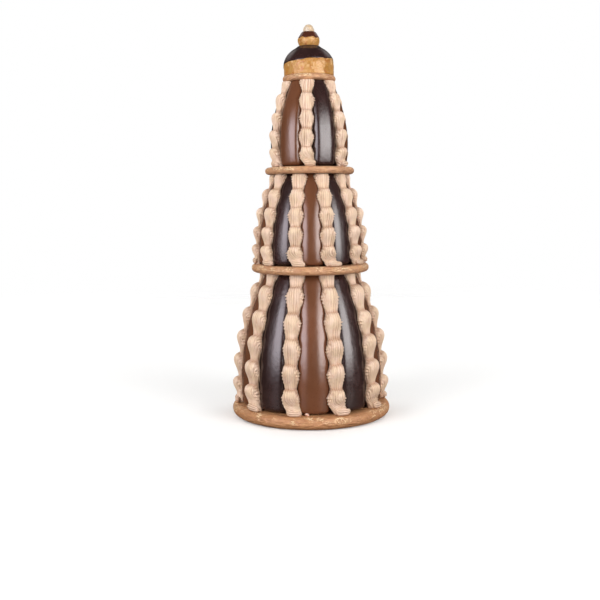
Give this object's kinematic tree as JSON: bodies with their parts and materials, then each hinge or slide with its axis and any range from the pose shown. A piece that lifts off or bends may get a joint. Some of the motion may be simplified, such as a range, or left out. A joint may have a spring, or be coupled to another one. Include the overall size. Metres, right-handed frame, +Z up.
{
  "type": "display religieuse",
  "caption": "Tall cone of upright glazed eclairs in stacked tiers, bound by piped cream ribs and tan rings, topped by glazed choux buns; a cast display copy of the pastry.",
  "frame": {"origin": "centre of the flat underside of the base ring", "axes": "+Z up the cone's axis, -Y towards the side that faces the viewer, where a milk-brown eclair stands in the middle of the two lower tiers; +X to that viewer's right"},
  "size_m": [0.1774, 0.1766, 0.4278],
  "materials": {
    "milk_glaze": "smooth glossy milk chocolate brown",
    "dark_glaze": "smooth glossy dark chocolate brown",
    "cream": "ridged satin buttercream beige",
    "biscuit": "tan, lightly pitted, with faint golden glints",
    "choux": "golden baked crust, slightly lumpy, soft sheen",
    "core": "plain tan, hidden"
  },
  "bodies": {
    "root": {"core": "core", "base_ring": "biscuit", "ring_lower": "biscuit", "ring_middle": "biscuit", "ring_top": "biscuit", "eclair_lower_01": "milk_glaze", "eclair_lower_02": "dark_glaze", "eclair_lower_03": "milk_glaze", "eclair_lower_04": "dark_glaze", "eclair_lower_05": "milk_glaze", "eclair_lower_06": "dark_glaze", "eclair_lower_07": "milk_glaze", "eclair_lower_08": "dark_glaze", "eclair_lower_09": "milk_glaze", "eclair_lower_10": "dark_glaze", "rib_lower_01": "cream", "rib_lower_02": "cream", "rib_lower_03": "cream", "rib_lower_04": "cream", "rib_lower_05": "cream", "rib_lower_06": "cream", "rib_lower_07": "cream", "rib_lower_08": "cream", "rib_lower_09": "cream", "rib_lower_10": "cream", "eclair_middle_01": "milk_glaze", "eclair_middle_02": "dark_glaze", "eclair_middle_03": "milk_glaze", "eclair_middle_04": "dark_glaze", "eclair_middle_05": "milk_glaze", "eclair_middle_06": "dark_glaze", "eclair_middle_07": "milk_glaze", "eclair_middle_08": "dark_glaze", "eclair_middle_09": "milk_glaze", "eclair_middle_10": "dark_glaze", "rib_middle_01": "cream", "rib_middle_02": "cream", "rib_middle_03": "cream", "rib_middle_04": "cream", "rib_middle_05": "cream", "rib_middle_06": "cream", "rib_middle_07": "cream", "rib_middle_08": "cream", "rib_middle_09": "cream", "rib_middle_10": "cream", "eclair_top_01": "milk_glaze", "eclair_top_02": "dark_glaze", "eclair_top_03": "milk_glaze", "eclair_top_04": "dark_glaze", "eclair_top_05": "milk_glaze", "eclair_top_06": "dark_glaze", "rib_top_01": "cream", "rib_top_02": "cream", "rib_top_03": "cream", "rib_top_04": "cream", "rib_top_05": "cream", "rib_top_06": "cream", "choux_large": "choux", "choux_small": "choux", "cream_tip": "cream"}
  },
  "joints": []
}
